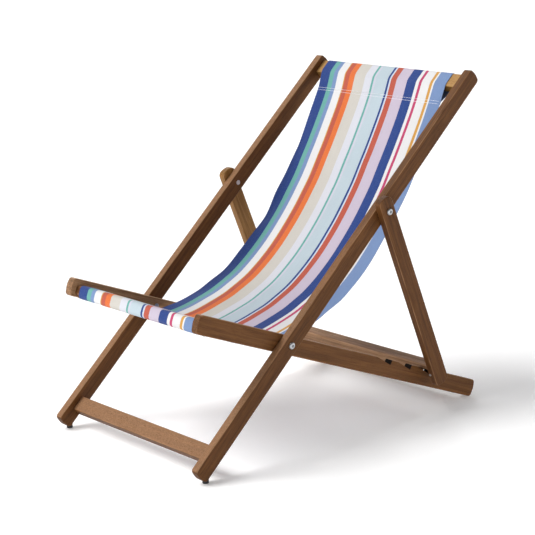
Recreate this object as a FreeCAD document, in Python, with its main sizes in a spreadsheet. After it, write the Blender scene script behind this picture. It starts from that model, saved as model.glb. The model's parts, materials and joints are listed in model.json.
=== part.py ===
"""Folding deck chair: a canvas sling between two crossed hardwood frames and a notched prop.

Frame: X across the chair, -Y the front, +Z up, origin on the ground under the middle of the
chair. Right and left in the names are as seen from the front: right is +X. The chair stands
in its lowest recline, with the prop bar in the rearmost notches.

Three wooden frames turn on two lines of bolts:
  long frame  front foot to head, carries the sling's top edge
  seat frame  crosses it at the seat pivot, carries the sling's front edge
  prop frame  hangs from the long frame and props it on the seat frame's notches
Every frame is drawn in its own local axes: Y along the rails away from the pivot,
Z square to them, X across. A Placement then tilts it to its slope.
"""
import FreeCAD, Part
import math
import os
import Sketcher

V = FreeCAD.Vector
doc = FreeCAD.newDocument("folding_deck_chair")

# ---------------------------------------------------------------- driving dimensions
DIMENSIONS = [
    ("outer_width", 560, "over the outsides of the long rails"),
    ("layer_gap", 1, "between neighbouring rails at the pivots"),
    ("long_thick", 21.5, "long rail, across the chair"),
    ("seat_thick", 22.5, "seat rail, across the chair"),
    ("prop_thick", 19.5, "prop strut, across the chair"),
    ("long_front", 22, "long rail, from the pivot line to its front edge"),
    ("long_back", 20, "long rail, from the pivot line to its back edge"),
    ("seat_top", 20.5, "seat rail, from the pivot line to its top edge"),
    ("seat_under", 24.5, "seat rail, from the pivot line to its under edge"),
    ("prop_front", 23, "prop strut, from the pivot line to its front edge"),
    ("prop_back", 20, "prop strut, from the pivot line to its back edge"),
    ("long_slope", 42.4, "long rails above the ground, degrees"),
    ("seat_slope", 21.1, "seat rails falling to the back, degrees"),
    ("prop_slope", 67.7, "prop struts falling to the back, degrees"),
    ("long_up", 848, "seat pivot to the head end of a long rail"),
    ("long_down", 379, "seat pivot to the foot end of a long rail"),
    ("seat_rear", 701, "seat pivot to the ground end of a seat rail"),
    ("seat_ahead", 274, "seat pivot to the front end of a seat rail"),
    ("prop_pivot", 408, "seat pivot to prop pivot, along the long rail"),
    ("prop_up", 38, "prop pivot to the top end of a strut"),
    ("prop_down", 507, "prop pivot to the bottom end of a strut"),
    ("end_rise", 4, "how far a rail's end bows out"),
    ("end_corner", 9, "corner radius of a rail's end"),
    ("end_bow", 40, "radius of the bow in a rail's end"),
    ("strut_corner", 14, "corner radius of a strut's top end"),
    ("edge_round", 2.5, "rounding of every rail's long edges"),
    ("board_thick", 25, "cross boards, square to the frame"),
    ("board_wide", 42, "top, front and rear boards, along the rails"),
    ("board_round", 3.5, "rounding of a cross board's long edges"),
    ("front_round", 8, "rounding of the front board, which the canvas turns over"),
    ("top_board_at", 797.5, "lower edge of the top board along the long rails"),
    ("foot_board_at", -336, "lower edge of the foot board along the long rails"),
    ("foot_board_wide", 40, "foot board, along the rails"),
    ("front_board_at", -258, "front edge of the front board along the seat rails"),
    ("front_board_under", 19, "front board, pivot line to its under face"),
    ("rear_board_at", 622, "front edge of the rear board along the seat rails"),
    ("rear_board_under", 24, "rear board, pivot line to its under face"),
    ("rear_board_thick", 18, "rear board, square to the frame: the folded canvas lies over it"),
    ("bar_at", 458, "upper edge of the prop bar along the struts"),
    ("bar_tall", 24, "prop bar's ends, along the struts"),
    ("bar_thick", 28, "prop bar, square to the struts"),
    ("bar_drop", 4, "how much lower the bar reaches between the seat rails"),
    ("bar_clear", 1.2, "from the bar's deeper middle to a seat rail"),
    ("bar_bevel_up", 13, "bevel under the bar's ends, along the struts"),
    ("bar_bevel_in", 15.5, "bevel under the bar's ends, square to the struts"),
    ("tenon_deep", 14, "tenons into the rails"),
    ("tenon_inset", 6, "shoulder all round a tenon"),
    ("notch_first", 314, "start of the first notch's ramp along the seat rail"),
    ("notch_ramp", 54, "length of a notch's ramp"),
    ("notch_lean", 3, "how far a notch's back wall leans"),
    ("notch_deep", 12.5, "depth of a notch"),
    ("notch_pitch", 75, "from one notch to the next"),
    ("notch_count", 3, "notches in each seat rail"),
    ("bolt_r", 4, "pivot bolt shank radius"),
    ("sleeve_r", 5, "sleeve nut outside radius"),
    ("head_r", 8.5, "bolt head radius"),
    ("head_tall", 4, "bolt head height"),
    ("socket_r", 3.6, "hexagon socket in a bolt head, to its corners"),
    ("socket_deep", 2.6, "depth of the hexagon socket"),
    ("flange_r", 6.5, "sleeve nut flange radius"),
    ("flange_thin", 1.6, "sleeve nut flange thickness"),
    ("running", 0.05, "radial clearance of a turning bolt"),
    ("face_gap", 0.3, "clearance between faces that pass each other"),
    ("washer_r", 11, "spacer washer outside radius"),
    ("washer_thin", 0.4, "spacer washer thickness"),
    ("pin_r", 1.6, "pin through a tenon, radius"),
    ("pin_long", 30, "pin through a tenon, length under its head"),
    ("pin_head_r", 3.4, "pin head radius"),
    ("pin_head_tall", 1.4, "pin head height"),
    ("pin_in", 6.5, "pins, from the rail's inner face"),
    ("foot_r", 7.5, "rubber foot radius"),
    ("foot_tall", 16, "rubber foot, ground to the bottom of its hole"),
    ("foot_y", -258, "rubber foot ahead of the seat pivot"),
    ("nail_r", 1.2, "nail through a rubber foot, radius"),
    ("nail_head_r", 3, "nail through a rubber foot, head radius"),
    ("nail_sunk", 4, "nail head above the ground"),
    ("nail_top", 30, "nail point above the ground"),
    ("sling_wide", 450, "canvas, across the chair"),
    ("sling_thick", 1.6, "canvas, as a solid"),
    ("sling_slack", 0.8, "canvas clear of the boards that it wraps"),
    ("sling_low_y", -21.5, "lowest line of the canvas behind the seat pivot"),
    ("sling_low_z", -7, "lowest line of the canvas above the seat pivot"),
    ("sling_back_a", 393, "catenary size of the back"),
    ("sling_front_a", 215, "catenary size of the seat"),
    ("top_seam_y", 559, "top seam behind the seat pivot"),
    ("front_seam_y", -158, "front seam behind the seat pivot"),
    ("pivot_y", -183.6, "seat pivot behind the middle of the chair"),
]
FORMULAS = [
    ("long_in", "=outer_width/2-long_thick", "inner face of a long rail"),
    ("seat_out", "=long_in-layer_gap", "outer face of a seat rail"),
    ("seat_in", "=seat_out-seat_thick", "inner face of a seat rail"),
    ("prop_in", "=outer_width/2+layer_gap", "inner face of a prop strut"),
    ("prop_out", "=prop_in+prop_thick", "outer face of a prop strut"),
    ("prop_y", "=pivot_y+prop_pivot*cos(long_slope)", "prop pivot, Y"),
    ("heel_tilt", "=atan(end_rise/seat_under)", "lean of the seat rail's end at its heel"),
    ("heel_y", "=seat_rear-end_rise-end_corner*(1-sin(heel_tilt))/cos(heel_tilt)", "heel centre"),
    ("heel_z", "=seat_under-end_corner", "heel centre below the pivot line"),
    ("pivot_z", "=heel_y*sin(seat_slope)+heel_z*cos(seat_slope)+end_corner", "pivot height"),
    ("prop_z", "=pivot_z+prop_pivot*sin(long_slope)", "prop pivot, Z"),
]

dims = doc.addObject("Spreadsheet::Sheet", "dims")
for row, (alias, content, note) in enumerate(DIMENSIONS + FORMULAS, start=1):
    dims.set(f"A{row}", alias)
    dims.set(f"B{row}", str(content))
    dims.setAlias(f"B{row}", alias)
    dims.set(f"C{row}", note)
doc.recompute()


def size(alias):
    """The value of one cell, for the few shapes that are set by code."""
    return float(getattr(dims, alias))


def bind(obj, prop, formula):
    """Ties a property to a formula of cell names, each written as d.name."""
    obj.setExpression(prop, formula.replace("d.", "dims."))


# ---------------------------------------------------------------- building blocks
def new_body(label, x="0", base=None, slope=None):
    """A PartDesign body; base is the pair of cells of its pivot, slope its tilt."""
    body = doc.addObject("PartDesign::Body", label)
    body.Label = label
    body.Placement = FreeCAD.Placement(V(), FreeCAD.Rotation(V(1, 0, 0), 1))
    bind(body, "Placement.Base.x", x)
    if base:
        bind(body, "Placement.Base.y", base[0])
        bind(body, "Placement.Base.z", base[1])
    bind(body, "Placement.Rotation.Angle", slope or "0")
    return body


LONG = {"base": ("d.pivot_y", "d.pivot_z"), "slope": "d.long_slope"}
SEAT = {"base": ("d.pivot_y", "d.pivot_z"), "slope": "-d.seat_slope"}
PROP = {"base": ("d.prop_y", "d.prop_z"), "slope": "-d.prop_slope"}


def sketch_on(body, name, role="YZ_Plane"):
    """An empty sketch on one of the body's own origin planes."""
    sketch = body.newObject("Sketcher::SketchObject", name)
    plane = next(f for f in body.Origin.OriginFeatures if f.Role == role)
    sketch.AttachmentSupport = [(plane, "")]
    sketch.MapMode = "FlatFace"
    return sketch


def place_point(sketch, geometry, point, name, where):
    """Pins a sketch point to a pair of formulas, measured from the sketch's origin."""
    for kind, formula in zip(("DistanceX", "DistanceY"), where):
        index = sketch.addConstraint(Sketcher.Constraint(kind, -1, 1, geometry, point, 1.0))
        sketch.renameConstraint(index, f"{name}_{kind[-1].lower()}")
        bind(sketch, f"Constraints.{name}_{kind[-1].lower()}", formula)


def polygon(body, name, corners, role="YZ_Plane"):
    """A closed outline of straight sides through corners given as pairs of formulas."""
    sketch = sketch_on(body, name, role)
    count = len(corners)
    for i in range(count):
        turn = 2 * math.pi * i / count
        following = 2 * math.pi * (i + 1) / count
        start = V(math.cos(turn), math.sin(turn), 0)
        end = V(math.cos(following), math.sin(following), 0)
        sketch.addGeometry(Part.LineSegment(start, end))
    for i in range(count):
        sketch.addConstraint(Sketcher.Constraint("Coincident", i, 2, (i + 1) % count, 1))
    for i, corner in enumerate(corners):
        place_point(sketch, i, 1, f"p{i}", corner)
    return sketch


def rectangle(body, name, y0, y1, z0, z1):
    return polygon(body, name, [(y0, z0), (y1, z0), (y1, z1), (y0, z1)])


def circle(body, name, radius, centre=("0", "0"), role="YZ_Plane"):
    sketch = sketch_on(body, name, role)
    sketch.addGeometry(Part.Circle(V(), V(0, 0, 1), 1))
    place_point(sketch, 0, 3, "centre", centre)
    index = sketch.addConstraint(Sketcher.Constraint("Radius", 0, 1.0))
    sketch.renameConstraint(index, "radius")
    bind(sketch, "Constraints.radius", radius)
    return sketch


def extrude(body, kind, sketch, length, reversed_way=False, both_ways=False):
    """A Pad or a Pocket of a sketch; a Pad goes to +X, or to -X when reversed."""
    feature = body.newObject(f"PartDesign::{kind}", f"{body.Name}_{kind.lower()}")
    feature.Profile = sketch
    feature.Reversed = reversed_way
    if both_ways:
        feature.SideType = "Symmetric"
    bind(feature, "Length", length)
    return feature


def cut(body, sketch, length, side):
    """A pocket that goes into the rail, which lies on the given side of X = 0."""
    doc.recompute()
    before = body.Shape.Volume
    feature = extrude(body, "Pocket", sketch, length, reversed_way=side > 0)
    doc.recompute()
    if not body.Shape.Volume < before - 1:
        raise RuntimeError(f"{body.Label}: {sketch.Name} removes nothing")
    return feature


def round_edges(body, radius, chosen):
    """A fillet on the tip's edges for which chosen(edge) holds."""
    doc.recompute()
    tip = body.Tip
    names = [f"Edge{i}" for i, e in enumerate(tip.Shape.Edges, start=1) if chosen(e)]
    fillet = body.newObject("PartDesign::Fillet", f"{body.Name}_fillet")
    fillet.Base = (tip, names)
    bind(fillet, "Radius", radius)
    return fillet


def runs_across(edge):
    """True for a straight edge along X."""
    return abs(edge.tangentAt(edge.FirstParameter).x) > 0.999


def lies_flat(edge):
    """True for an edge in a plane square to X."""
    box = edge.BoundBox
    return box.XMax - box.XMin < 1e-6


# ---------------------------------------------------------------- rails
def rail(label, frame, inner, thick, side, span, depth, low_corner="d.end_corner"):
    """A rail with bowed ends and rounded edges; its inner face lies on local X = 0.

    span is the pair of formulas of its ends along Y, depth of its edges along Z.
    """
    low, high = span
    under, top = depth
    body = new_body(label, x=f"{side}*{inner}", **frame)
    outline = polygon(body, f"{label}_outline", [
        (f"{low}+d.end_rise", under), (f"{high}-d.end_rise", under), (high, "0"),
        (f"{high}-d.end_rise", top), (f"{low}+d.end_rise", top), (low, "0"),
    ])
    extrude(body, "Pad", outline, thick, reversed_way=side < 0)

    def corner(edge, beyond_pivot):
        where = edge.CenterOfMass
        return runs_across(edge) and abs(where.z) > 1 and (where.y > 0) == beyond_pivot

    round_edges(body, low_corner, lambda e: corner(e, beyond_pivot=False))
    round_edges(body, "d.end_corner", lambda e: corner(e, beyond_pivot=True))
    round_edges(body, "d.end_bow", lambda e: runs_across(e) and abs(e.CenterOfMass.z) < 1e-3)
    round_edges(body, "d.edge_round", lies_flat)
    return body


def mortise(body, name, side, along, under, wide, thick):
    """The blind hole for a cross board's tenon, in the rail's inner face."""
    inset = "d.tenon_inset"
    outline = rectangle(body, name, f"{along}+{inset}", f"{along}+{wide}-{inset}",
                        f"{under}+{inset}", f"{under}+{thick}-{inset}")
    cut(body, outline, "d.tenon_deep", side)


def bore(body, name, side, radius, length, along="0"):
    cut(body, circle(body, name, radius, (along, "0")), length, side)


def drill(body, sketch, length):
    """A pocket that goes up into a rail from below it."""
    doc.recompute()
    before = body.Shape.Volume
    extrude(body, "Pocket", sketch, length, reversed_way=True)
    doc.recompute()
    if not body.Shape.Volume < before - 1:
        raise RuntimeError(f"{body.Label}: {sketch.Name} removes nothing")


def pin_hole(body, name, side, along, from_z):
    """The hole for the pin that locks a tenon, from the rail's edge at from_z."""
    sketch = circle(body, name, "d.pin_r", (f"{side}*d.pin_in", along), role="XY_Plane")
    bind(sketch, "AttachmentOffset.Base.z", from_z)
    drill(body, sketch, "d.pin_long")


BOARDS = {  # frame, start along the rails, width along them, under face, thickness
    "top_board": ("d.top_board_at", "d.board_wide", "0-d.long_back+0.5", "d.board_thick"),
    "foot_board": ("d.foot_board_at", "d.foot_board_wide", "0-d.long_back+0.5", "d.board_thick"),
    "front_board": ("d.front_board_at", "d.board_wide", "0-d.front_board_under", "d.board_thick"),
    "rear_board": ("d.rear_board_at", "d.board_wide", "0-d.rear_board_under", "d.rear_board_thick"),
    "prop_bar": ("d.bar_at", "d.bar_tall", "d.prop_back-d.bar_thick", "d.bar_thick"),
}


def middle_of(board):
    start, wide = BOARDS[board][:2]
    return f"{start}+{wide}/2"


def long_rail(label, side):
    body = rail(label, LONG, "d.long_in", "d.long_thick", side,
                ("0-d.long_down", "d.long_up"), ("0-d.long_back", "d.long_front"))
    bore(body, f"{label}_seat_pivot", side, "d.bolt_r", "2*d.long_thick")
    bore(body, f"{label}_prop_pivot", side, "d.sleeve_r", "2*d.long_thick", "d.prop_pivot")
    bore(body, f"{label}_flange", side, "d.flange_r+0.1", "d.flange_thin+0.1", "d.prop_pivot")
    for board in ("top_board", "foot_board"):
        mortise(body, f"{label}_{board}", side, *mortise_of(board))
        pin_hole(body, f"{label}_{board}_pin", side, middle_of(board), "0-d.long_back")
    for name, radius, length in (("foot", "d.foot_r", "d.foot_tall"),
                                 ("nail", "d.nail_r", "d.nail_top")):
        hole_from_ground(body, f"{label}_{name}_hole", side, radius, length)
    return body


def mortise_of(board):
    start, wide, under, thick = BOARDS[board]
    return start, under, wide, thick


def hole_from_ground(body, name, side, radius, length):
    """An upright hole in the foot end of a long rail, measured from the ground."""
    sketch = circle(body, name, radius, role="XY_Plane")
    turn = FreeCAD.Rotation(V(1, 0, 0), -size("long_slope"))
    sketch.AttachmentOffset = FreeCAD.Placement(V(), turn)
    bind(sketch, "AttachmentOffset.Base.x", f"{side}*d.long_thick/2")
    bind(sketch, "AttachmentOffset.Base.y",
         "d.foot_y*cos(d.long_slope)-d.pivot_z*sin(d.long_slope)")
    bind(sketch, "AttachmentOffset.Base.z",
         "0-d.foot_y*sin(d.long_slope)-d.pivot_z*cos(d.long_slope)")
    drill(body, sketch, length)


def seat_rail(label, side):
    body = rail(label, SEAT, "d.seat_in", "d.seat_thick", side,
                ("0-d.seat_ahead", "d.seat_rear"), ("0-d.seat_under", "d.seat_top"))
    ramp_end = "d.notch_first+d.notch_ramp"
    notch = polygon(body, f"{label}_notch", [
        ("d.notch_first", "d.seat_top"),
        (ramp_end, "d.seat_top-d.notch_deep"),
        (f"{ramp_end}+d.notch_lean", "d.seat_top"),
        (f"{ramp_end}+d.notch_lean", "d.seat_top+1"),
        ("d.notch_first", "d.seat_top+1"),
    ])
    first = cut(body, notch, "d.seat_thick", side)
    notches = body.newObject("PartDesign::LinearPattern", f"{label}_notches")
    notches.Originals = [first]
    notches.Direction = (next(f for f in body.Origin.OriginFeatures if f.Role == "Y_Axis"), [""])
    bind(notches, "Length", "d.notch_pitch*(d.notch_count-1)")
    bind(notches, "Occurrences", "d.notch_count")
    body.Tip = notches
    bore(body, f"{label}_pivot", side, "d.sleeve_r+d.running", "2*d.seat_thick")
    for board in ("front_board", "rear_board"):
        mortise(body, f"{label}_{board}", side, *mortise_of(board))
        pin_hole(body, f"{label}_{board}_pin", side, middle_of(board), "0-d.seat_under")
    return body


def prop_strut(label, side):
    body = rail(label, PROP, "d.prop_in", "d.prop_thick", side,
                ("0-d.prop_up", "d.prop_down"), ("0-d.prop_front", "d.prop_back"),
                low_corner="d.strut_corner")
    bore(body, f"{label}_pivot", side, "d.bolt_r+d.running", "2*d.prop_thick")
    mortise(body, f"{label}_prop_bar", side, *mortise_of("prop_bar"))
    pin_hole(body, f"{label}_pin", side, middle_of("prop_bar"), "0-d.prop_front")
    return body


# ---------------------------------------------------------------- cross boards
def deepen(body, start, far, under, top):
    """The full section of the prop bar between the seat rails, whose notches take its ends."""
    middle = rectangle(body, "prop_bar_middle", f"{far}-d.bar_bevel_up-1", f"{far}+d.bar_drop",
                       under, top)
    extrude(body, "Pad", middle, "2*(d.seat_in-d.bar_clear)", both_ways=True)
    bottom = size("bar_at") + size("bar_tall") + size("bar_drop") - 1
    round_edges(body, "d.board_round", lambda e: runs_across(e) and e.CenterOfMass.y > bottom)


def cross_board(label, frame, inner, rounding="d.board_round", pin_from=None):
    """A board between two rails with a stub tenon at each end."""
    start, wide, under, thick = BOARDS[label]
    far, top = f"{start}+{wide}", f"{under}+{thick}"
    body = new_body(label, **frame)
    bar = label == "prop_bar"
    if bar:
        corners = [(start, under), (f"{far}-d.bar_bevel_up", under),
                   (far, f"{under}+d.bar_bevel_in"), (far, top), (start, top)]
    else:
        corners = [(start, under), (far, under), (far, top), (start, top)]
    extrude(body, "Pad", polygon(body, f"{label}_section", corners), f"2*{inner}", both_ways=True)
    round_edges(body, rounding, runs_across)
    if bar:
        deepen(body, start, far, under, top)
    inset = "d.tenon_inset"
    tenon = rectangle(body, f"{label}_tenon", f"{start}+{inset}", f"{far}-{inset}",
                      f"{under}+{inset}", f"{top}-{inset}")
    extrude(body, "Pad", tenon, f"2*({inner}+d.tenon_deep)", both_ways=True)
    for side in (-1, 1):
        sketch = circle(body, f"{label}_pin_{side + 1}", "d.pin_r",
                        (f"{side}*({inner}+d.pin_in)", middle_of(label)), role="XY_Plane")
        bind(sketch, "AttachmentOffset.Base.z", pin_from)
        extrude(body, "Pocket", sketch, "d.pin_long", reversed_way=True)
        doc.recompute()
    return body


# ---------------------------------------------------------------- pivots
def hexagon(body, name, radius):
    corners = [(f"{radius}*cos({60 * i})", f"{radius}*sin({60 * i})") for i in range(6)]
    return polygon(body, name, corners)


def bolt(label, side, frame, face, shank):
    """A domed bolt; local X = 0 is the under side of its head."""
    body = new_body(label, x=f"{side}*({face})", **frame)
    head = circle(body, f"{label}_head", "d.head_r")
    extrude(body, "Pad", head, "d.head_tall", reversed_way=side < 0)
    round_edges(body, "d.head_tall-0.6", lambda e: side * e.CenterOfMass.x > 1 and lies_flat(e))
    extrude(body, "Pad", circle(body, f"{label}_shank", "d.bolt_r"), shank, reversed_way=side > 0)
    socket = hexagon(body, f"{label}_socket", "d.socket_r")
    bind(socket, "AttachmentOffset.Base.z", f"{side}*(d.head_tall-d.socket_deep)")
    cut(body, socket, "d.socket_deep", side)
    return body


def sleeve_nut(label, side, frame, face, sleeve):
    """A flanged sleeve nut; local X = 0 is the under side of its flange."""
    body = new_body(label, x=f"{side}*({face})", **frame)
    flange = circle(body, f"{label}_flange", "d.flange_r")
    extrude(body, "Pad", flange, "d.flange_thin", reversed_way=side > 0)
    round_edges(body, "d.flange_thin/2", lambda e: side * e.CenterOfMass.x < -1 and lies_flat(e))
    extrude(body, "Pad", circle(body, f"{label}_sleeve", "d.sleeve_r"), sleeve,
            reversed_way=side < 0)
    cut(body, circle(body, f"{label}_thread", "d.bolt_r"), sleeve, side)
    return body


def group(label, solids, base=None, slope=None):
    """Identical fasteners as one sub-part of separate solids, in a frame's axes."""
    compound = doc.addObject("Part::Compound", label)
    compound.Label = label
    compound.Links = solids
    compound.Placement = FreeCAD.Placement(V(), FreeCAD.Rotation(V(1, 0, 0), 1))
    if base:
        bind(compound, "Placement.Base.y", base[0])
        bind(compound, "Placement.Base.z", base[1])
    bind(compound, "Placement.Rotation.Angle", slope or "0")
    return compound


def cylinder(name, radius, height, where, towards=V(0, 0, 1)):
    """A cylinder from the point where, given as three formulas."""
    made = doc.addObject("Part::Cylinder", name)
    made.Placement = FreeCAD.Placement(V(), FreeCAD.Rotation(V(0, 0, 1), towards))
    bind(made, "Radius", radius)
    bind(made, "Height", height)
    for axis, formula in zip("xyz", where):
        bind(made, f"Placement.Base.{axis}", formula)
    return made


def boolean(kind, name, base, tool):
    made = doc.addObject(f"Part::{kind}", name)
    made.Base = base
    made.Tool = tool
    return made


def pins(label, frame, spots):
    """Headed pins that lock tenons; a spot is (inner, board, face that they enter)."""
    made = []
    for inner, board, face in spots:
        for side in (-1, 1):
            name = f"{label}_{len(made)}"
            x = f"{side}*({inner}+d.pin_in)"
            shank = cylinder(f"{name}_shank", "d.pin_r", "d.pin_long", (x, middle_of(board), face))
            head = cylinder(f"{name}_head", "d.pin_head_r", "d.pin_head_tall",
                            (x, middle_of(board), f"{face}-d.pin_head_tall"))
            made.append(boolean("Fuse", name, shank, head))
    return group(label, made, **frame)


def washers(label, frame, face, bore_r, along="0"):
    """The thin discs between two rails, one on each side of the chair."""
    made = []
    for side in (-1, 1):
        name = f"{label}_{side + 1}"
        x = f"{side}*({face}+(d.layer_gap-d.washer_thin)/2)"
        outward = V(side, 0, 0)
        disc = cylinder(f"{name}_disc", "d.washer_r", "d.washer_thin", (x, along, "0"), outward)
        hole = cylinder(f"{name}_hole", bore_r, "d.washer_thin", (x, along, "0"), outward)
        made.append(boolean("Cut", name, disc, hole))
    return group(label, made, **frame)


# ---------------------------------------------------------------- feet
def foot_x(side):
    return f"{side}*(d.long_in+d.long_thick/2)"


def foot_nail(name, side):
    where = (foot_x(side), "d.pivot_y+d.foot_y")
    shank = cylinder(f"{name}_shank", "d.nail_r", "d.nail_top-d.nail_sunk", (*where, "d.nail_sunk"))
    head = cylinder(f"{name}_head", "d.nail_head_r", "1", (*where, "d.nail_sunk"))
    return boolean("Fuse", name, shank, head)


def rubber_foot(label, side):
    """A rubber plug that stands on the ground, with a well for its nail."""
    where = (foot_x(side), "d.pivot_y+d.foot_y")
    plug = cylinder(f"{label}_plug", "d.foot_r", "d.foot_tall", (*where, "0"))
    well = cylinder(f"{label}_well", "d.nail_head_r", "d.nail_sunk+1", (*where, "0"))
    hole = cylinder(f"{label}_hole", "d.nail_r", "d.foot_tall", (*where, "0"))
    foot = boolean("Cut", label, boolean("Cut", f"{label}_drilled", plug, well), hole)
    foot.Label = label
    return foot


# ---------------------------------------------------------------- canvas
def in_frame(along, square, slope):
    """A frame's local point as world Y and Z from the seat pivot."""
    turn = math.radians(slope)
    return (along * math.cos(turn) - square * math.sin(turn),
            along * math.sin(turn) + square * math.cos(turn))


def wire_through(points):
    corners = [V(0, y, z) for y, z in points]
    return Part.makePolygon(corners + corners[:1])


def pocket(along, under, wide, slope, seam):
    """The loop of canvas round a board, drawn together at its seam: its outside and inside."""
    thick = size("board_thick")
    corners = [in_frame(along + a, under + b, slope)
               for a, b in ((0, 0), (wide, 0), (wide, thick), (0, thick))]
    nearest = min(range(4), key=lambda i: math.dist(corners[i], seam)
                  + math.dist(corners[(i + 1) % 4], seam))
    path = corners[nearest + 1:] + corners[:nearest + 1] + [seam]
    inside = wire_through(path).makeOffset2D(size("sling_slack"))
    outside = inside.makeOffset2D(size("sling_thick"))
    return outside, inside


def hanging(a, start, end, steps):
    """Points of a catenary of size a, whose low point is the canvas's lowest line."""
    low_y, low_z = size("sling_low_y"), size("sling_low_z")
    ys = [start + (end - start) * i / steps for i in range(steps + 1)]
    return [(y, low_z + a * (math.cosh((y - low_y) / a) - 1)) for y in ys]


def band(path):
    """A strip of the canvas's thickness along a path."""
    half = size("sling_thick") / 2
    above, below = [], []
    for i, (y, z) in enumerate(path):
        before, after = path[max(i - 1, 0)], path[min(i + 1, len(path) - 1)]
        dy, dz = after[0] - before[0], after[1] - before[1]
        run = math.hypot(dy, dz)
        above.append((y - dz / run * half, z + dy / run * half))
        below.append((y + dz / run * half, z - dy / run * half))
    return wire_through(above + below[::-1])


def sling():
    low_y = size("sling_low_y")
    seat = hanging(size("sling_front_a"), size("front_seam_y"), low_y, 6)
    back = hanging(size("sling_back_a"), low_y, size("top_seam_y"), 12)
    top_loop = pocket(size("top_board_at"), 0.5 - size("long_back"), size("board_wide"),
                      size("long_slope"), back[-1])
    front_loop = pocket(size("front_board_at"), -size("front_board_under"), size("board_wide"),
                        -size("seat_slope"), seat[0])
    wide = size("sling_wide")

    def across(outline):
        return Part.Face(outline).extrude(V(wide, 0, 0))

    solid = across(band(seat + back[1:]))
    solid = solid.fuse([across(outside) for outside, _ in (top_loop, front_loop)])
    solid = solid.cut([across(inside) for _, inside in (top_loop, front_loop)])
    canvas = doc.addObject("Part::Feature", "sling")
    canvas.Label = "sling"
    canvas.Shape = solid.removeSplitter()
    canvas.Placement = FreeCAD.Placement(
        V(-wide / 2, size("pivot_y"), size("pivot_z")), FreeCAD.Rotation())
    return canvas


# ---------------------------------------------------------------- the chair
nodes = [
    cross_board("top_board", LONG, "d.long_in", pin_from="0-d.long_back"),
    cross_board("foot_board", LONG, "d.long_in", pin_from="0-d.long_back"),
    cross_board("front_board", SEAT, "d.seat_in", "d.front_round", pin_from="0-d.seat_under"),
    cross_board("rear_board", SEAT, "d.seat_in", pin_from="0-d.seat_under"),
    cross_board("prop_bar", PROP, "d.prop_in", pin_from="0-d.prop_front"),
    pins("long_frame_pins", LONG, [("d.long_in", "top_board", "0-d.long_back"),
                                   ("d.long_in", "foot_board", "0-d.long_back")]),
    pins("seat_frame_pins", SEAT, [("d.seat_in", "front_board", "0-d.seat_under"),
                                   ("d.seat_in", "rear_board", "0-d.seat_under")]),
    pins("prop_frame_pins", PROP, [("d.prop_in", "prop_bar", "0-d.prop_front")]),
    washers("seat_pivot_washers", LONG, "d.seat_out", "d.bolt_r"),
    washers("prop_pivot_washers", LONG, "d.outer_width/2", "d.bolt_r", "d.prop_pivot"),
    group("foot_nails", [foot_nail("nail_right", 1), foot_nail("nail_left", -1)]),
    sling(),
]
for name, side in (("right", 1), ("left", -1)):
    prop_pivot = {"base": PROP["base"], "slope": "0"}
    nodes += [
        long_rail(f"long_rail_{name}", side),
        seat_rail(f"seat_rail_{name}", side),
        prop_strut(f"prop_strut_{name}", side),
        rubber_foot(f"rubber_foot_{name}", side),
        bolt(f"seat_pivot_bolt_{name}", side, LONG, "d.outer_width/2",
             "d.long_thick+d.layer_gap+d.seat_thick-3"),
        sleeve_nut(f"seat_pivot_nut_{name}", side, LONG, "d.seat_in-d.face_gap",
                   "d.seat_thick+d.face_gap"),
        bolt(f"prop_pivot_bolt_{name}", side, prop_pivot, "d.prop_out+d.face_gap",
             "d.face_gap+d.prop_thick+d.layer_gap+d.long_thick-3"),
        sleeve_nut(f"prop_pivot_nut_{name}", side, prop_pivot, "d.long_in+d.flange_thin+0.1",
                   "d.long_thick-d.flange_thin-0.1"),
    ]
doc.recompute()

# ---------------------------------------------------------------- checks and export
for obj in doc.Objects:
    if {"Invalid", "Error"} & set(obj.State):
        raise RuntimeError(f"{obj.Label} failed: {obj.State}")
for node in nodes:
    shape = node.Shape
    if shape.isNull() or not shape.isValid() or not shape.Solids:
        raise RuntimeError(f"{node.Label} has no valid solid")

os.makedirs("parts", exist_ok=True)
for node in nodes:
    node.Shape.exportStep(f"parts/{node.Label}.step")
print(f"{len(nodes)} sub-parts, pivot {size('pivot_z'):.2f} mm above the ground")
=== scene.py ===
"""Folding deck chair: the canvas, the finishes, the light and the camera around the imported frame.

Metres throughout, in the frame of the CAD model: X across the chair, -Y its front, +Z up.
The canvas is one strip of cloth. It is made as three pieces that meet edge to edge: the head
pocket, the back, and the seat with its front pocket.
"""
import json
import math

import bmesh
import bpy
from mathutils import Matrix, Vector, noise


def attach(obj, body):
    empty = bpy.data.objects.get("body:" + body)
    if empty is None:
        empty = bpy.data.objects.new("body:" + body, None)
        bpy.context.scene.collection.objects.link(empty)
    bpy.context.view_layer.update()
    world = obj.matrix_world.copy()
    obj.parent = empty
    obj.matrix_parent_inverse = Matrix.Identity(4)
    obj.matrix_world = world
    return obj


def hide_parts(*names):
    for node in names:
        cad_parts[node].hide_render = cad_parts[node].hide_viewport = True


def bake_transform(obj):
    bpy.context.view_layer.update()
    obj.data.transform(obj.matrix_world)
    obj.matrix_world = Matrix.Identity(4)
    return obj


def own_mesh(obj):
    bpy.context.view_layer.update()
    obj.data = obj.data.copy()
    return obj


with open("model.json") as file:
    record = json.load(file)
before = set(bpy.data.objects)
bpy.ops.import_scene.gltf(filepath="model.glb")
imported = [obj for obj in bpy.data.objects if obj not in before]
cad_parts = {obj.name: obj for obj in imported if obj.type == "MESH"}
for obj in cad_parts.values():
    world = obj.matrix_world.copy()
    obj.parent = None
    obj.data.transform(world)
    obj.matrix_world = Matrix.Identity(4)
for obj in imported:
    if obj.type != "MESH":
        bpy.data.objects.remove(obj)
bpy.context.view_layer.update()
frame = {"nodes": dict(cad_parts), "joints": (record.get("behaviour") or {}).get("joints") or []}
NODES = frame["nodes"]
JOINTS = {joint["name"]: joint for joint in frame["joints"]}

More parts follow.
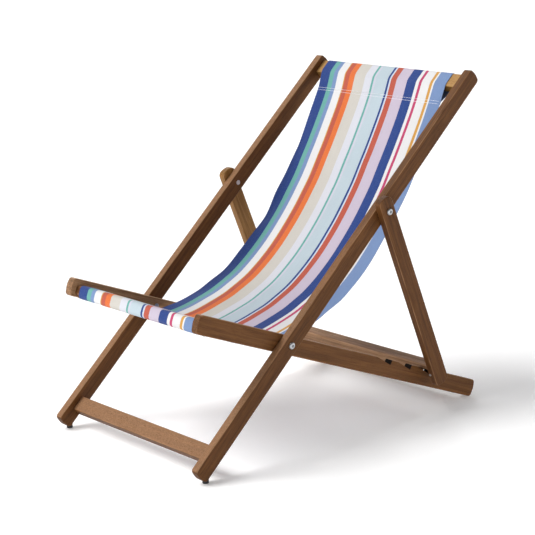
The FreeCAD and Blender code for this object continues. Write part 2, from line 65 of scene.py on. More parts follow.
SEAT_PIVOT = Vector(JOINTS["main_fold"]["pos_m"])
PROP_PIVOT = Vector(JOINTS["prop_fold"]["pos_m"])
LONG_SLOPE = math.radians(42.4)
SEAT_SLOPE = math.radians(-21.1)
PROP_SLOPE = math.radians(-67.7)
MM = 0.001


# ---------------------------------------------------------------- frames of the three wooden frames
def from_frame(along, square, pivot, slope):
    """A frame's local point, along its rails and square to them, as (Y, Z)."""
    cos, sin = math.cos(slope), math.sin(slope)
    return (pivot.y + along * cos - square * sin, pivot.z + along * sin + square * cos)


def section(node, pivot, slope):
    """Lowest and highest reach of a node along a frame's rails and square to them."""
    cos, sin = math.cos(slope), math.sin(slope)
    offsets = [vertex.co - pivot for vertex in NODES[node].data.vertices]
    along = [point.y * cos + point.z * sin for point in offsets]
    square = [point.z * cos - point.y * sin for point in offsets]
    return min(along), max(along), min(square), max(square)


# ---------------------------------------------------------------- route of the canvas
CLOTH_THICK = 1.0 * MM
CLOTH_CLEAR = 1.4 * MM          # middle of the cloth above the wood that it lies on
HEM = 9 * MM                    # cloth beyond a seam's line
LAYER = 1.2 * MM                # from the sheet to the hem sewn behind it
LOW_POINT = (-21.5 * MM, -7 * MM)   # lowest line of the canvas, from the seat pivot
TOP_SEAM_Y = 559 * MM
FRONT_SEAM_Y = -158 * MM
BACK_SIZE = 393 * MM            # catenary sizes behind and ahead of the lowest line
SEAT_SIZE = 215 * MM
POCKET_SAG = 7 * MM             # the front pocket hangs loose under its board
HEAD_BENDS = (6, 6, 7, 7, 12)   # radii in mm at the corners of each pocket's route
FRONT_BENDS = (10, 10.5, 20, 8, 6)
BEND_STEP = 0.15                # radians of turn between the points of a bend
BEND_REACH = 0.45               # most of a straight run that the bend at one end may take
CURVE_STEP = 4 * MM             # between the points of the hanging curve
ROW_STEP = 3.5 * MM             # between the rows of the cloth's mesh

# How far the cloth hangs off the catenary at a distance behind the seat pivot, both in mm. Soft
# creases across the cloth, left from its being folded up, leave it straight between them.
HANG = ((-60, 0), (0, 0.4), (91, 2.2), (158, -0.9), (225, -4.4), (291, -4.8), (358, -3.6),
        (430, -2.6), (475, 0.8), (518, 1.6), (545, 0.3), (559, 0))


def ramp(value, keys, smooth=False):
    """The amount at a place, from a short list of (place, amount) with straight or smooth runs."""
    if value <= keys[0][0]:
        return keys[0][1]
    for (low, first), (high, second) in zip(keys, keys[1:]):
        if value <= high:
            share = (value - low) / (high - low)
            if smooth:
                share = share * share * (3 - 2 * share)
            return first + (second - first) * share
    return keys[-1][1]


def hanging(y):
    """(Y, Z) of the hanging canvas, and its slope, at a distance behind the seat pivot."""
    size = BACK_SIZE if y > LOW_POINT[0] else SEAT_SIZE
    reach = (y - LOW_POINT[0]) / size
    z = LOW_POINT[1] + size * (math.cosh(reach) - 1)
    slope = math.atan(math.sinh(reach))
    out = ramp(y / MM, HANG, smooth=True) * MM
    y -= out * math.sin(slope)
    z += out * math.cos(slope)
    return SEAT_PIVOT.y + y, SEAT_PIVOT.z + z, slope


def hanging_line(start, end):
    """The hanging canvas from one distance behind the seat pivot to another."""
    count = round(abs(end - start) / CURVE_STEP)
    return [Vector(hanging(start + (end - start) * i / count)[:2]) for i in range(count + 1)]


def behind(point, slope, down, deep):
    """A point at a distance down the slope from another, and behind the cloth."""
    y, z = point
    return (y - down * math.cos(slope) + deep * math.sin(slope),
            z - down * math.sin(slope) - deep * math.cos(slope))


def rounded(corners, radii):
    """A line through corners, each but the ends turned into a bend of a radius in mm."""
    line = [Vector(corners[0])]
    for before, corner, after, radius in zip(corners, corners[1:], corners[2:], radii):
        corner = Vector(corner)
        back, ahead = Vector(before) - corner, Vector(after) - corner
        turn = math.pi - back.angle(ahead)
        reach = min(radius * MM * math.tan(turn / 2), BEND_REACH * back.length, BEND_REACH * ahead.length)
        first, last = corner + back.normalized() * reach, corner + ahead.normalized() * reach
        steps = max(2, round(turn / BEND_STEP))
        for i in range(steps + 1):
            share = i / steps
            line.append(first * (1 - share) ** 2 + corner * 2 * share * (1 - share) + last * share ** 2)
    line.append(Vector(corners[-1]))
    return line


def evenly(line):
    """Points at even distances along a line, and the line's length."""
    lengths = [0.0]
    for first, second in zip(line, line[1:]):
        lengths.append(lengths[-1] + (second - first).length)
    count = max(2, round(lengths[-1] / ROW_STEP))
    points, leg = [], 0
    for i in range(count + 1):
        want = lengths[-1] * i / count
        while leg < len(line) - 2 and lengths[leg + 1] < want:
            leg += 1
        share = (want - lengths[leg]) / max(lengths[leg + 1] - lengths[leg], 1e-9)
        points.append(line[leg].lerp(line[leg + 1], min(share, 1)))
    return points, lengths[-1]


def head_route():
    """From the hem behind the top seam, round the top board and down to the seam."""
    low, high, back, front = section("top_board", SEAT_PIVOT, LONG_SLOPE)
    high, back, front = high + CLOTH_CLEAR, back - CLOTH_CLEAR, front + CLOTH_CLEAR
    seam_y, seam_z, slope = hanging(TOP_SEAM_Y)
    seam = (seam_y, seam_z)
    board = [from_frame(a, s, SEAT_PIVOT, LONG_SLOPE)
             for a, s in ((low, back), (high, back), (high, front), (low, front))]
    corners = [behind(seam, slope, HEM, LAYER), behind(seam, slope, 0, LAYER), *board, seam]
    return rounded(corners, HEAD_BENDS)


def front_route():
    """From the front seam over the front board and back under it to the hem, a little slack."""
    near, far, under, top = section("front_board", SEAT_PIVOT, SEAT_SLOPE)
    near, under, top = near - CLOTH_CLEAR, under - CLOTH_CLEAR, top + CLOTH_CLEAR
    seam_y, seam_z, slope = hanging(FRONT_SEAM_Y)
    seam = (seam_y, seam_z)
    board = [from_frame(a, s, SEAT_PIVOT, SEAT_SLOPE)
             for a, s in ((far, top), (near, top), (near, under - POCKET_SAG), (far, under))]
    corners = [seam, *board, behind(seam, slope, 0, LAYER), behind(seam, slope, -HEM, LAYER)]
    return rounded(corners, FRONT_BENDS)


# ---------------------------------------------------------------- width of the canvas
# The stripes, from the left edge: width in millimetres and colour.
STRIPES = (
    (32, "navy"), (16.5, "teal"), (14, "cornflower"), (25, "white"), (4, "ochre"), (15, "brick"),
    (19, "orange"), (39, "greige"), (25, "mist"), (7, "teal"), (8.5, "pale_lilac"),
    (41.5, "duck_egg"), (7, "navy"), (5.5, "pale_blue"), (18, "brick"), (37, "lilac"),
    (31, "navy"), (10, "white"), (9, "magenta"), (27.5, "white"), (9.5, "ochre"), (4.5, "white"),
    (39.5, "cornflower"),
)
CLOTH_WIDE = sum(width for width, _ in STRIPES) * MM
COLUMNS = 128                   # faces across the cloth
HEAD_SPREAD = 1.018             # the cloth is flat on the boards and drawn in a little between
FRONT_SPREAD = 1.008
HEAD_SHIFT = -12 * MM           # how far right of the chair's middle line the cloth sits
BACK_SHIFT = 3 * MM
SEAM_SHIFT = BACK_SHIFT * 0.4
SEAT_SHIFT = 4 * MM
FRONT_SHIFT = 7.5 * MM
EDGE_LIFT = 6 * MM              # the seat's edges hang less deep than its middle

# Each slack edge: how far in its curl reaches, its wave (height in mm, radians a metre, start),
# and its dimples (height in mm, then place behind the seat pivot and reach in metres).
LEFT_EDGE = (22 * MM, (1.5, 46, 1), ((-4.2, 0.357, 0.024), (-2.6, 0.478, 0.022), (2.2, 0.402, 0.02),
                                     (-2.0, 0.13, 0.03)))
RIGHT_EDGE = (26 * MM, (1.6, 31, 2.2), ((-2.0, 0.21, 0.03),))


def curl(from_edge, y, edge):
    """Height off the sheet that a slack edge curls and dimples to."""
    curl_reach, (wave, pace, start), dimples = edge
    height = wave * math.sin(y * pace + start)
    height += sum(deep * math.exp(-((y - place) / reach) ** 2) for deep, place, reach in dimples)
    return height * MM * math.exp(-(from_edge / curl_reach) ** 2)


def slack(across, down):
    """Small unevenness of hanging cloth: long shallow swells, and finer ones over them."""
    swell = noise.noise(Vector((across * 14, down * 5, 0.3)))
    fine = noise.noise(Vector((across * 60, down * 22, 4.1)))
    return (0.9 * swell + 0.25 * fine) * MM


def pucker(across, from_seam):
    """Tiny gathers that the stitches draw up beside a seam."""
    fade = math.exp(-abs(from_seam) / (11 * MM))
    wave = noise.noise(Vector((across * 130, from_seam * 20, 7.7)))
    return 0.75 * MM * wave * fade


def strip(name, line, spread, shift, rise):
    """A strip of cloth along a line in the YZ plane, and its length.

    spread and shift give its width and its place across the chair at a share of its length.
    rise gives its height off the line, from a place across, that share, the whole length and
    the line's point.
    """
    points, length = evenly(line)
    rows = len(points)
    mesh = bpy.data.meshes.new(name)
    verts, uvs = [], []
    for row, point in enumerate(points):
        share = row / (rows - 1)
        tangent = points[min(row + 1, rows - 1)] - points[max(row - 1, 0)]
        normal = Vector((tangent.y, -tangent.x)).normalized()
        for column in range(COLUMNS + 1):
            across = (column / COLUMNS - 0.5) * CLOTH_WIDE
            off = normal * rise(across, share, length, point)
            verts.append((across * spread(share) + shift(share), point.x + off.x, point.y + off.y))
            uvs.append((across + CLOTH_WIDE / 2, share * length))
    wide = COLUMNS + 1
    faces = [(r * wide + c, r * wide + c + 1, (r + 1) * wide + c + 1, (r + 1) * wide + c)
             for r in range(rows - 1) for c in range(COLUMNS)]
    mesh.from_pydata(verts, [], faces)
    layer = mesh.uv_layers.new(name="Cloth")
    for loop in mesh.loops:
        layer.data[loop.index].uv = uvs[loop.vertex_index]
    mesh.shade_smooth()
    sheet = bpy.data.objects.new(name, mesh)
    bpy.context.scene.collection.objects.link(sheet)
    thick = sheet.modifiers.new("thickness", "SOLIDIFY")
    thick.thickness = CLOTH_THICK
    thick.offset = 0
    apply_modifiers(sheet)
    sheet.data.set_sharp_from_angle(angle=math.radians(50))     # no shading round the cut edges
    return sheet, length


def apply_modifiers(obj):
    bpy.context.view_layer.update()
    seen = obj.evaluated_get(bpy.context.evaluated_depsgraph_get())
    mesh = bpy.data.meshes.new_from_object(seen)
    obj.modifiers.clear()
    obj.data = mesh


def head_piece():
    """The cloth round the top board, from hem to seam: tight on the board and free elsewhere."""
    def grip(share):
        return ramp(share, ((0, 0), (0.05, 0), (0.28, 1), (0.74, 1), (1, 0)))

    def spread(share):
        return 1 + (HEAD_SPREAD - 1) * grip(share)

    def shift(share):
        return HEAD_SHIFT * grip(share) + SEAM_SHIFT * (1 - grip(share))

    def rise(across, share, length, point):
        seam = min(share, 1 - share) * length
        return pucker(across, seam) + slack(across, share * length) * (1 - grip(share)) * 0.4

    return strip("sling_head", head_route(), spread, shift, rise)


def back_piece():
    """The cloth from the top seam to the lowest line."""
    def shift(share):
        keys = ((0, SEAM_SHIFT), (0.1, BACK_SHIFT), (0.35, BACK_SHIFT * 0.3), (0.6, 0), (1, 0))
        return ramp(share, keys)

    def rise(across, share, length, point):
        ends = min(1, share * 12) * min(1, (1 - share) * 12)
        y = point.x - SEAT_PIVOT.y
        edges = curl(across + CLOTH_WIDE / 2, y, LEFT_EDGE) + curl(across - CLOTH_WIDE / 2, y, RIGHT_EDGE)
        return pucker(across, share * length) + ends * (slack(across, share * length) + edges)

    return strip("sling_back", hanging_line(TOP_SEAM_Y, LOW_POINT[0]), lambda share: 1, shift, rise)


def seat_piece():
    """The cloth from the lowest line to the front seam, and on round the front board."""
    line = hanging_line(LOW_POINT[0], FRONT_SEAM_Y) + front_route()[1:]
    long = evenly(line)[1]
    free = LOW_POINT[0] - FRONT_SEAM_Y      # about the length that hangs free

    def grip(share):
        """How tight the cloth is on the front board, by the metres past the front seam."""
        keys = ((0, 0), (0.06, 1), (0.17, 1), (0.21, 0))
        return ramp(share * long - free, keys)

    def spread(share):
        return 1 + (FRONT_SPREAD - 1) * grip(share)

    def shift(share):
        return ramp(share * long, ((0, 0), (free, SEAT_SHIFT), (free + 0.05, FRONT_SHIFT),
                                   (free + 0.16, FRONT_SHIFT), (free + 0.21, SEAT_SHIFT)))

    def rise(across, share, length, point):
        down = share * length
        loose = min(1, share * 12) * (1 - grip(share))
        tight = (abs(across) / (CLOTH_WIDE / 2)) ** 8 * math.sin(math.pi * min(down / free, 1))
        return pucker(across, down - free * 1.06) + loose * slack(across, down) + EDGE_LIFT * tight

    return strip("sling_seat", line, spread, shift, rise)


# ---------------------------------------------------------------- materials
class Graph:
    """A material's nodes, made and linked by short calls."""

    def __init__(self, name):
        self.material = bpy.data.materials.new(name)
        self.material.use_nodes = True
        self.tree = self.material.node_tree
        self.shader = self.tree.nodes["Principled BSDF"]

    def add(self, kind, **settings):
        node = self.tree.nodes.new("ShaderNode" + kind)
        for key, value in settings.items():
            if hasattr(node, key):
                setattr(node, key, value)
            else:
                self.feed(value, node.inputs[key.replace("_", " ")])
        return node

    def feed(self, value, socket):
        if isinstance(value, bpy.types.NodeSocket):
            self.tree.links.new(value, socket)
        else:
            socket.default_value = value

    def math(self, operation, first, second=0.5):
        node = self.tree.nodes.new("ShaderNodeMath")
        node.operation = operation
        self.feed(first, node.inputs[0])
        self.feed(second, node.inputs[1])
        return node.outputs[0]

    def between(self, value, low, high, to_low=0.0, to_high=1.0):
        node = self.tree.nodes.new("ShaderNodeMapRange")
        node.clamp = True
        for index, amount in enumerate((value, low, high, to_low, to_high)):
            self.feed(amount, node.inputs[index])
        return node.outputs[0]

    def mix(self, share, first, second, blend="MIX"):
        node = self.tree.nodes.new("ShaderNodeMix")
        node.data_type = "RGBA"
        node.blend_type = blend
        for index, amount in ((0, share), (6, first), (7, second)):     # its colour sockets
            self.feed(amount, node.inputs[index])
        return node.outputs[2]

    def noise(self, vector, scale, detail=3.0, rough=0.55, distortion=0.0):
        node = self.tree.nodes.new("ShaderNodeTexNoise")
        self.feed(vector, node.inputs["Vector"])
        node.inputs["Scale"].default_value = scale
        node.inputs["Detail"].default_value = detail
        node.inputs["Roughness"].default_value = rough
        node.inputs["Distortion"].default_value = distortion
        return node.outputs["Fac"]

    def mapping(self, vector, rotation=(0, 0, 0), scale=(1, 1, 1), location=(0, 0, 0)):
        node = self.tree.nodes.new("ShaderNodeMapping")
        self.feed(vector, node.inputs["Vector"])
        node.inputs["Location"].default_value = location
        node.inputs["Rotation"].default_value = rotation
        node.inputs["Scale"].default_value = scale
        return node.outputs[0]

    def drawn_out(self, vector, scale, detail=3.0, rough=0.55, distortion=0.0):
        """Noise with its own scale along each axis, for threads and grain."""
        return self.noise(self.mapping(vector, scale=scale), 1.0, detail, rough, distortion)

    def bump(self, height, strength, distance):
        node = self.tree.nodes.new("ShaderNodeBump")
        node.inputs["Strength"].default_value = strength
        node.inputs["Distance"].default_value = distance
        self.feed(height, node.inputs["Height"])
        return node.outputs[0]

    def finish(self, color, roughness, normal=None):
        self.feed(color, self.shader.inputs["Base Color"])
        self.feed(roughness, self.shader.inputs["Roughness"])
        if normal is not None:
            self.feed(normal, self.shader.inputs["Normal"])
        return self.material


def rgb(hexcode, gain=1.0):
    """Linear colour from a display colour."""
    channels = [int(hexcode[i:i + 2], 16) / 255 for i in (0, 2, 4)]
    linear = [c / 12.92 if c <= 0.04045 else ((c + 0.055) / 1.055) ** 2.4 for c in channels]
    return (*[min(1.0, c * gain) for c in linear], 1.0)


def shade(color, share):
    """The same colour with less light in it."""
    return (*[c * share for c in color[:3]], 1.0)


CLOTH_COLORS = {
    "navy": "23448D", "teal": "6FB5AC", "cornflower": "7F9AC8", "white": "F4F3F3",
    "ochre": "DFA44A", "brick": "C85C46", "orange": "EE7836", "greige": "DAD5CC",
    "mist": "E4E5EE", "pale_lilac": "DAD9E8", "duck_egg": "C8D8E1", "pale_blue": "D9E2F0",
    "lilac": "D5C8DA", "magenta": "CB3F70",
}
CLOTH_GAIN = 0.78               # dyed cotton gives back less light than its display colours
THREADS_PER_M = 1150
WEFT_SHARE = 0.8                # the weft is a little coarser than the warp


def stripe_colors(g, share):
    """The stripes' colours at a share of the cloth's width."""
    node = g.tree.nodes.new("ShaderNodeValToRGB")
    g.feed(share, node.inputs[0])
    node.color_ramp.interpolation = "CONSTANT"
    stops = node.color_ramp.elements
    at = 0.0
    for index, (width, color) in enumerate(STRIPES):
        start = at / CLOTH_WIDE
        stop = stops[index] if index < 2 else stops.new(start)     # a new ramp has two stops
        stop.position = start
        stop.color = rgb(CLOTH_COLORS[color], CLOTH_GAIN)
        at += width * MM
    return node.outputs[0]


def cloth_material():
    """Yarn-dyed canvas: stripes, a plain weave with slubs, and soft wear."""
    g = Graph("canvas_stripes")
    uv = g.add("UVMap", uv_map="Cloth").outputs[0]
    parts = g.add("SeparateXYZ", Vector=uv)
    across, down = parts.outputs[0], parts.outputs[1]
    wobble = g.drawn_out(uv, (40, 300, 1), 2.0)
    place = g.math("ADD", across, g.between(wobble, 0.3, 0.7, -0.25 * MM, 0.25 * MM))
    stripes = stripe_colors(g, g.math("DIVIDE", place, CLOTH_WIDE))
    turns = 2 * math.pi * THREADS_PER_M
    warp = g.math("SINE", g.math("MULTIPLY", across, turns))
    weft = g.math("SINE", g.math("MULTIPLY", down, turns * WEFT_SHARE))
    weave = g.math("MULTIPLY", warp, weft)
    slub = g.drawn_out(uv, (60, 1500, 1), 3.0, 0.6)
    slub_warp = g.drawn_out(uv, (1600, 45, 1), 3.0, 0.6)
    fleck = g.math("ADD", g.between(slub, 0.3, 0.7, -0.5, 0.5),
                   g.between(slub_warp, 0.3, 0.7, -0.5, 0.5))
    tone = g.math("ADD", g.math("MULTIPLY", fleck, 0.07), g.math("MULTIPLY", weave, 0.035))
    light = g.mix(g.between(tone, 0.0, 0.12, 0.0, 0.13), stripes, (0.85, 0.85, 0.88, 1))
    color = g.mix(g.between(tone, -0.12, 0.0, 0.16, 0.0), light, (0.02, 0.02, 0.03, 1))
    cloud = g.noise(uv, 9.0, 3.0)
    color = g.mix(g.between(cloud, 0.35, 0.65, 0.0, 0.06), color, (0.55, 0.55, 0.58, 1), "MULTIPLY")
    height = g.math("ADD", g.math("MULTIPLY", weave, 0.35), g.math("MULTIPLY", fleck, 0.8))
    normal = g.bump(height, 0.35, 0.25 * MM)
    g.shader.inputs["Sheen Weight"].default_value = 0.12
    g.shader.inputs["Sheen Roughness"].default_value = 0.5
    g.shader.inputs["Specular IOR Level"].default_value = 0.2
    return g.finish(color, g.between(slub, 0.3, 0.7, 0.82, 0.95), normal)


WOOD_TONES = {
    # dark grain, body, light grain, worn edge and painted sheen on front faces
    "stained": ("402510", "663F1C", "794E26", "A27A58"),
    "seat": ("4A2D15", "734A24", "885A31", "A67D5B"),
    "bar": ("5E3F28", "A27B58", "B88F6B", "C49C78"),
    "light": ("684622", "966C3B", "A97D49", "BC9470"),
    "golden": ("6B4720", "9A6F36", "B0864A", "B8905A"),
}
TONE_OF = {                     # boards differ in stain; the seat rails, prop bar and left prop strut are also made lighter as painted light, and the golden top board darker as painted shade
    "top_board": "golden", "prop_bar": "bar", "prop_strut_left": "light",
    "seat_rail_left": "bar", "seat_rail_right": "seat",
}
HEAD_FRONT_PALE = {"long_rail_right": 0.1}    # the paler front face of this rail, planed flecks and painted sheen, fades out towards its head


def wood_axes(g, pivot, slope, across):
    """Place and facing on a wooden piece, turned so that Y runs along its grain."""
    coords = g.add("TexCoord")
    place = g.mapping(coords.outputs["Object"], location=tuple(-c for c in pivot))
    place = g.mapping(place, rotation=(-slope, 0, 0))
    facing = g.mapping(coords.outputs["Normal"], rotation=(-slope, 0, 0))
    if across:
        place = g.mapping(place, rotation=(0, 0, math.pi / 2))
        facing = g.mapping(facing, rotation=(0, 0, math.pi / 2))
    return place, g.add("SeparateXYZ", Vector=facing)


def board_grain(g, place, seed):
    """Where in the timber a board is cut from, with its grain gently bent."""
    grain = g.mapping(place, location=(seed * 0.37, seed * 1.91, seed * 0.73))
    bend = g.drawn_out(grain, (9, 2.2, 9), 2.0)
    offset = g.add("CombineXYZ", X=g.math("MULTIPLY", bend, 0.03), Z=g.math("MULTIPLY", bend, 0.022))
    bent = g.add("VectorMath", operation="ADD")
    g.feed(grain, bent.inputs[0])
    g.feed(offset.outputs[0], bent.inputs[1])
    return bent.outputs[0]


def grain_color(g, grain, dark, body, light):
    """Colour of clean planed wood, with the streaks and pores that its bump follows."""
    bands = g.drawn_out(grain, (150, 3.2, 150), 4.0, 0.6, 0.4)
    streaks = g.drawn_out(grain, (700, 9, 700), 4.0, 0.65)
    patches = g.drawn_out(grain, (14, 2.5, 14))
    pores = g.between(g.drawn_out(grain, (1900, 60, 1900), 2.0, 0.5), 0.60, 0.70)
    color = g.mix(g.between(bands, 0.36, 0.64), dark, light)
    color = g.mix(0.5, color, body)
    color = g.mix(g.between(streaks, 0.44, 0.72, 0.0, 0.42), color, dark)
    color = g.mix(g.between(streaks, 0.5, 0.28, 0.0, 0.3), color, light)
    color = g.mix(g.between(patches, 0.38, 0.66, 0.0, 0.28), color, dark)
    color = g.mix(g.math("MULTIPLY", pores, 0.5), color, shade(dark, 0.35))
    return color, streaks, pores


def wood_material(name, pivot, slope, tone, seed, across, notched, head_front_pale):
    """Planed hardwood with its grain along the piece.

    Ends show end grain, and edges are worn lighter. Front faces are paler with flecks: partly the planed
    finish and partly painted sheen where the light falls. The end grain in a rail's notches is nearly
    black. head_front_pale is the share of that paler front face that is left at the rail's upper end.
    """
    g = Graph(name)
    dark, body, light, wear_and_sheen = (rgb(code) for code in WOOD_TONES[tone])
    place, facing = wood_axes(g, pivot, slope, across)
    along = g.add("SeparateXYZ", Vector=place).outputs[1]
    grain = board_grain(g, place, seed)
    color, streaks, pores = grain_color(g, grain, dark, body, light)

    # paler front faces: flecks of the planed finish, and painted sheen where the light falls on them
    flecks = g.drawn_out(grain, (900, 170, 900), 4.0, 0.7)
    front = g.math("MULTIPLY", g.between(facing.outputs[2], 0.6, 0.9),
                   g.between(flecks, 0.34, 0.66, 0.2, 0.85))
    front = g.math("MULTIPLY", front, g.between(along, -0.1, 0.5, 1.0, head_front_pale))
    color = g.mix(front, color, wear_and_sheen)

    end = g.between(g.math("ABSOLUTE", facing.outputs[1]), 0.55, 0.85)
    rings = g.drawn_out(grain, (230, 30, 330), 3.0, 0.6)
    end_color = g.mix(g.between(rings, 0.35, 0.65), shade(dark, 0.62), body)
    color = g.mix(g.math("MULTIPLY", end, 0.65), color, end_color)

    edge = g.math("MULTIPLY", g.math("ABSOLUTE", facing.outputs[0]),
                  g.math("ABSOLUTE", facing.outputs[2]))
    rub = g.drawn_out(grain, (60, 14, 60))
    edge = g.math("MULTIPLY", g.between(edge, 0.18, 0.48), g.between(rub, 0.38, 0.62, 0.15, 0.75))
    color = g.mix(edge, color, wear_and_sheen)

    # the forward-facing walls of a seat rail's notches are made nearly black
    if notched:
        notch = g.math("MULTIPLY", g.between(along, 0.30, 0.31),
                       g.between(facing.outputs[1], -0.5, -0.8))
        color = g.mix(notch, color, shade(dark, 0.15))
    height = g.math("SUBTRACT", g.math("MULTIPLY", streaks, 0.6), g.math("MULTIPLY", pores, 0.9))
    g.shader.inputs["Specular IOR Level"].default_value = 0.16
    return g.finish(color, g.between(streaks, 0.3, 0.7, 0.42, 0.62), g.bump(height, 0.35, 0.3 * MM))


def metal_material(name, color, rough):
    """Zinc-plated steel: fine turning marks and a mottled tarnish."""
    g = Graph(name)
    coords = g.add("TexCoord").outputs["Object"]
    marks = g.noise(coords, 2600, 3.0)
    mottle = g.noise(coords, 420, 3.0)
    tint = g.mix(g.between(mottle, 0.35, 0.65, 0.0, 0.45), color, shade(color, 0.5))
    g.shader.inputs["Metallic"].default_value = 1.0
    roughness = g.between(mottle, 0.3, 0.7, rough, rough + 0.16)
    return g.finish(tint, roughness, g.bump(marks, 0.12, 0.1 * MM))


def rubber_material():
    """Matt black rubber, dusty and grained."""
    g = Graph("black_rubber")
    coords = g.add("TexCoord").outputs["Object"]
    grain = g.noise(coords, 1500, 3.0)
    dust = g.noise(coords, 160, 4.0)
    black, dusty = (0.012, 0.012, 0.013, 1), (0.06, 0.055, 0.05, 1)
    color = g.mix(g.between(dust, 0.45, 0.75, 0.0, 0.5), black, dusty)
    return g.finish(color, g.between(dust, 0.3, 0.7, 0.62, 0.85), g.bump(grain, 0.25, 0.2 * MM))


def thread_material():
    """White sewing thread with its twist."""
    g = Graph("white_thread")
    twist = g.noise(g.add("TexCoord").outputs["Object"], 3200, 2.0)
    color = g.mix(g.between(twist, 0.35, 0.65), rgb("DDDDE2"), rgb("FAFAFC"))
    g.shader.inputs["Sheen Weight"].default_value = 0.2
    return g.finish(color, g.between(twist, 0.3, 0.7, 0.5, 0.7), g.bump(twist, 0.4, 0.15 * MM))


def give(node, material):
    mesh = NODES[node].data
    mesh.materials.clear()
    mesh.materials.append(material)


def finish_frame():
    """Every CAD node gets a material; each board its own stretch of grain."""
    rails = (("long_rail", SEAT_PIVOT, LONG_SLOPE), ("seat_rail", SEAT_PIVOT, SEAT_SLOPE),
             ("prop_strut", PROP_PIVOT, PROP_SLOPE))
    boards = (("top_board", SEAT_PIVOT, LONG_SLOPE), ("foot_board", SEAT_PIVOT, LONG_SLOPE),
              ("front_board", SEAT_PIVOT, SEAT_SLOPE), ("rear_board", SEAT_PIVOT, SEAT_SLOPE),
              ("prop_bar", PROP_PIVOT, PROP_SLOPE))
    woods = [(f"{rail}_{side}", pivot, slope, False)
             for rail, pivot, slope in rails for side in ("left", "right")]
    woods += [(board, pivot, slope, True) for board, pivot, slope in boards]
    for seed, (node, pivot, slope, across) in enumerate(woods):
        tone = TONE_OF.get(node, "stained")
        notched = node.startswith("seat_rail")
        give(node, wood_material(f"{node}_wood", pivot, slope, tone, seed, across, notched,
                                 HEAD_FRONT_PALE.get(node, 1.0)))
    steel = metal_material("plated_steel", (0.52, 0.53, 0.55, 1), 0.24)
    pins = metal_material("pin_steel", (0.55, 0.54, 0.53, 1), 0.34)
    rubber = rubber_material()
    for node in NODES:
        if "bolt" in node or "nut" in node or "washers" in node:
            give(node, steel)
        elif "pins" in node or "nails" in node:
            give(node, pins)
        elif "rubber" in node:
            give(node, rubber)


# ---------------------------------------------------------------- stitching
STITCH_LONG = 4.2 * MM
STITCH_PITCH = 5.2 * MM
THREAD_R = 0.5 * MM
SEAM_GAP = 7 * MM               # between the two rows of a seam
ROW_INSET = 4 * MM              # from the cloth's left edge to a row's first stitch
ROW_SHORT = 6 * MM              # a row is this much shorter than the cloth is wide
TOP_ROWS = (0.5 * MM, 0.5 * MM + SEAM_GAP)      # rows of each seam, down from its line
FRONT_ROWS = (-1 * MM, -1 * MM - SEAM_GAP)

# A stitch's rings: share of its length, lift off the cloth and thickness, both in thread radii.
STITCH_RINGS = ((0, 0.05, 0.5), (0.2, 0.75, 1), (0.5, 1, 1), (0.8, 0.75, 1), (1, 0.05, 0.5))


def stitches(name, rows):
    """Rows of stitches; a row gives the cloth's point and normal at a place across the chair."""
    mesh = bmesh.new()
    count = int((CLOTH_WIDE - ROW_SHORT) / STITCH_PITCH)
    for row in rows:
        for i in range(count):
            across = -CLOTH_WIDE / 2 + ROW_INSET + i * STITCH_PITCH
            one_stitch(mesh, [row(across + STITCH_LONG * share) for share, _, _ in STITCH_RINGS])
    data = bpy.data.meshes.new(name)
    mesh.to_mesh(data)
    mesh.free()
    data.shade_smooth()
    made = bpy.data.objects.new(name, data)
    bpy.context.scene.collection.objects.link(made)
    return made


def one_stitch(mesh, route):
    """A short thread that dips into the cloth at both ends."""
    sides = 6
    rings = []
    for (point, normal), (_, lift, thick) in zip(route, STITCH_RINGS):
        center = point + normal * (CLOTH_THICK / 2 + lift * THREAD_R)
        side = normal.cross(Vector((1, 0, 0))).normalized()
        radius = THREAD_R * thick
        rings.append([mesh.verts.new(center + (normal * math.sin(a) + side * math.cos(a)) * radius)
                      for a in (2 * math.pi * k / sides for k in range(sides))])
    for first, second in zip(rings, rings[1:]):
        for k in range(sides):
            mesh.faces.new((first[k], first[(k + 1) % sides], second[(k + 1) % sides], second[k]))
    mesh.faces.new(rings[0][::-1])
    mesh.faces.new(rings[-1])


def seam_row(start_y, down, wander):
    """A row of stitches on the hanging canvas, a distance down from a seam's line.

    wander is how far the row strays from straight.
    """
    def at(across):
        y, z, slope = hanging(start_y)
        go = down + wander * noise.noise(Vector((across * 9, start_y * 7, down * 300)))
        point = Vector((across, y - go * math.cos(slope), z - go * math.sin(slope)))
        normal = Vector((0, -math.sin(slope), math.cos(slope)))
        return point + normal * pucker(across, down), normal
    return at


# ---------------------------------------------------------------- the canvas, in place
head, head_long = head_piece()
back, back_long = back_piece()
seat, seat_long = seat_piece()
cloth = cloth_material()
thread = thread_material()
for piece in (head, back, seat):
    piece.data.materials.append(cloth)
    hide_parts("sling")

top_stitches = stitches("head_seam_stitches",
                        [seam_row(TOP_SEAM_Y, down, 1.2 * MM) for down in TOP_ROWS])
front_stitches = stitches("front_seam_stitches",
                          [seam_row(FRONT_SEAM_Y, down, 1.0 * MM) for down in FRONT_ROWS])
for piece in (top_stitches, front_stitches):
    piece.data.materials.append(thread)

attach(head, "long_frame")
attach(back, "long_frame")
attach(top_stitches, "long_frame")
seam_y, seam_z, _ = hanging(TOP_SEAM_Y)
low_y, low_z, _ = hanging(LOW_POINT[0])
front_y, front_z, _ = hanging(FRONT_SEAM_Y)
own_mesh(back)
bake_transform(seat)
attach(front_stitches, "seat_frame")
finish_frame()


# ---------------------------------------------------------------- floor, light and camera
FLOOR_HALF = 40
FLOOR_DROP = 0.0005             # the floor lies a hair under the feet
FLOOR_GLOW = 0.20
WALL_RADIUS = 38
WALL_HEIGHT = 9
WALL_FOOT = -0.1
WALL_SIDES = 72
WALL_GLOW = 0.55
AIR_GLOW = 0.20


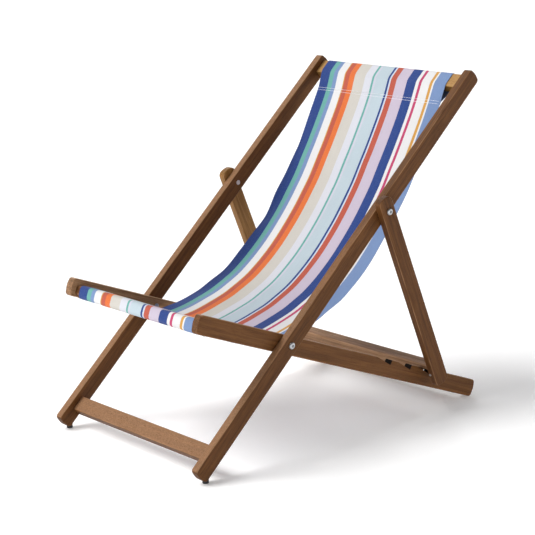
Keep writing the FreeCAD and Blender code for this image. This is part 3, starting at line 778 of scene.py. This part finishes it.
def stage_paint(name, glow):
    """Pale matt paint, faintly mottled, with a glow that keeps shadows on it pale."""
    g = Graph(name)
    mottle = g.noise(g.add("TexCoord").outputs["Object"], 3.0)
    color = g.mix(g.between(mottle, 0.3, 0.7, 0.0, 0.01), (0.93, 0.93, 0.93, 1), (0.9, 0.9, 0.9, 1))
    g.shader.inputs["Emission Color"].default_value = (1, 1, 1, 1)
    g.shader.inputs["Emission Strength"].default_value = glow
    return g.finish(color, 0.9)


def stage_piece(name, verts, faces, height, glow):
    """A painted piece of the stage at a height."""
    mesh = bpy.data.meshes.new(name)
    mesh.from_pydata(verts, [], faces)
    mesh.shade_smooth()
    mesh.materials.append(stage_paint(name + "_paint", glow))
    made = bpy.data.objects.new(name, mesh)
    made.location.z = height
    bpy.context.scene.collection.objects.link(made)


def floor():
    """A wide square floor."""
    corners = [(x * FLOOR_HALF, y * FLOOR_HALF, 0) for x, y in ((-1, -1), (1, -1), (1, 1), (-1, 1))]
    stage_piece("studio_floor", corners, [(0, 1, 2, 3)], -FLOOR_DROP, FLOOR_GLOW)


def wall():
    """A pale wall round the floor, so that level views have no dark sky behind the chair."""
    turns = [2 * math.pi * i / WALL_SIDES for i in range(WALL_SIDES)]
    verts = [(WALL_RADIUS * math.cos(a), WALL_RADIUS * math.sin(a), z)
             for z in (WALL_FOOT, WALL_HEIGHT) for a in turns]
    faces = [(i, (i + 1) % WALL_SIDES, WALL_SIDES + (i + 1) % WALL_SIDES, WALL_SIDES + i)
             for i in range(WALL_SIDES)]
    stage_piece("studio_wall", verts, faces, 0, WALL_GLOW)


def softbox(name, place, aim, size, power):
    """A rectangular soft lamp at a place, turned to an aim."""
    data = bpy.data.lights.new(name, "AREA")
    data.shape = "RECTANGLE"
    data.size, data.size_y = size
    data.energy = power
    lamp = bpy.data.objects.new(name, data)
    lamp.location = place
    lamp.rotation_euler = (Vector(aim) - Vector(place)).to_track_quat("-Z", "Y").to_euler()
    bpy.context.scene.collection.objects.link(lamp)


def sun(name, towards, energy, spread):
    """A distant soft light; towards points from the object to it."""
    data = bpy.data.lights.new(name, "SUN")
    data.energy = energy
    data.angle = math.radians(spread)
    lamp = bpy.data.objects.new(name, data)
    lamp.rotation_euler = Vector(towards).to_track_quat("Z", "Y").to_euler()
    bpy.context.scene.collection.objects.link(lamp)


def air():
    """White light from all round."""
    world = bpy.data.worlds.new("studio_air")
    world.use_nodes = True
    background = world.node_tree.nodes["Background"]
    background.inputs["Color"].default_value = (1, 1, 1, 1)
    background.inputs["Strength"].default_value = AIR_GLOW
    bpy.context.scene.world = world


def camera(from_pivot, turn, lens):
    """The camera, placed from the seat pivot and turned by angles in degrees."""
    data = bpy.data.cameras.new("camera")
    data.sensor_width = 36
    data.lens = lens
    data.clip_end = 100
    made = bpy.data.objects.new("camera", data)
    made.location = SEAT_PIVOT + Vector(from_pivot)
    made.rotation_euler = [math.radians(angle) for angle in turn]
    bpy.context.scene.collection.objects.link(made)
    bpy.context.scene.camera = made


floor()
wall()
air()
sun("key", towards=(-0.38, -0.50, 0.78), energy=2.7, spread=36)
sun("back_left", towards=(-0.72, 0.48, 0.50), energy=0.75, spread=30)
softbox("low_front", place=(-1.3, -2.3, 0.55), aim=(0, -0.35, 0.2), size=(1.2, 0.8), power=10)
camera(from_pivot=(3.0426, -2.4616, 1.0703), turn=(76.579, 1.105, 48.848), lens=111.7)
bpy.context.scene.view_settings.view_transform = "Standard"
